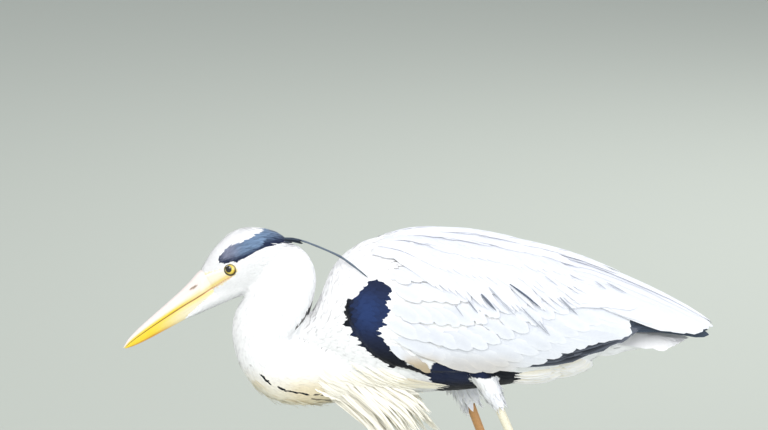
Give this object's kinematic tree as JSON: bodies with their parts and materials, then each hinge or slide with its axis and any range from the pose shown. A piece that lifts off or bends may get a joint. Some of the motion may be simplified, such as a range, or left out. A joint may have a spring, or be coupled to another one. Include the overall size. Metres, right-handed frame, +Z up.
{
  "type": "grey heron",
  "caption": "Life-size still model of an adult heron standing in a forward crouch, neck folded and wings closed.",
  "frame": {"origin": "on the floor under the middle of the whole model's box", "axes": "+X towards the tail, so the bill points to -X; +Y towards the bird's right side; +Z up"},
  "size_m": [0.7111, 0.1667, 0.4896],
  "materials": {
    "white_feathers": "soft white body feathers, matte",
    "cream_feathers": "long loose cream-white plumes, matte",
    "grey_feathers": "pale grey wing and tail feathers with dark flight feathers, matte",
    "dark_feathers": "blue-black head stripes and nape plumes, slight sheen",
    "bill_horn": "orange-yellow horn, satin",
    "leg_skin": "scaly yellow-brown leg skin, satin",
    "claw_horn": "dark brown horn, satin",
    "eye": "pale yellow iris with a black pupil, glossy"
  },
  "bodies": {
    "root": {"head": "white_feathers", "crest": "dark_feathers", "nape_plumes": "dark_feathers", "neck_upper": "white_feathers", "neck_lower": "white_feathers", "torso": "white_feathers", "tail": "grey_feathers", "breast_plumes": "cream_feathers", "upper_bill": "bill_horn", "lower_bill": "bill_horn", "left_eye": "eye", "left_wing": "grey_feathers", "left_scapulars": "grey_feathers", "left_thigh": "white_feathers", "left_shank": "leg_skin", "left_tarsus": "leg_skin", "left_foot": "leg_skin", "left_middle_claw": "claw_horn", "left_inner_claw": "claw_horn", "left_outer_claw": "claw_horn", "left_hind_claw": "claw_horn", "right_eye": "eye", "right_wing": "grey_feathers", "right_scapulars": "grey_feathers", "right_thigh": "white_feathers", "right_shank": "leg_skin", "right_tarsus": "leg_skin", "right_foot": "leg_skin", "right_middle_claw": "claw_horn", "right_inner_claw": "claw_horn", "right_outer_claw": "claw_horn", "right_hind_claw": "claw_horn"}
  },
  "joints": []
}
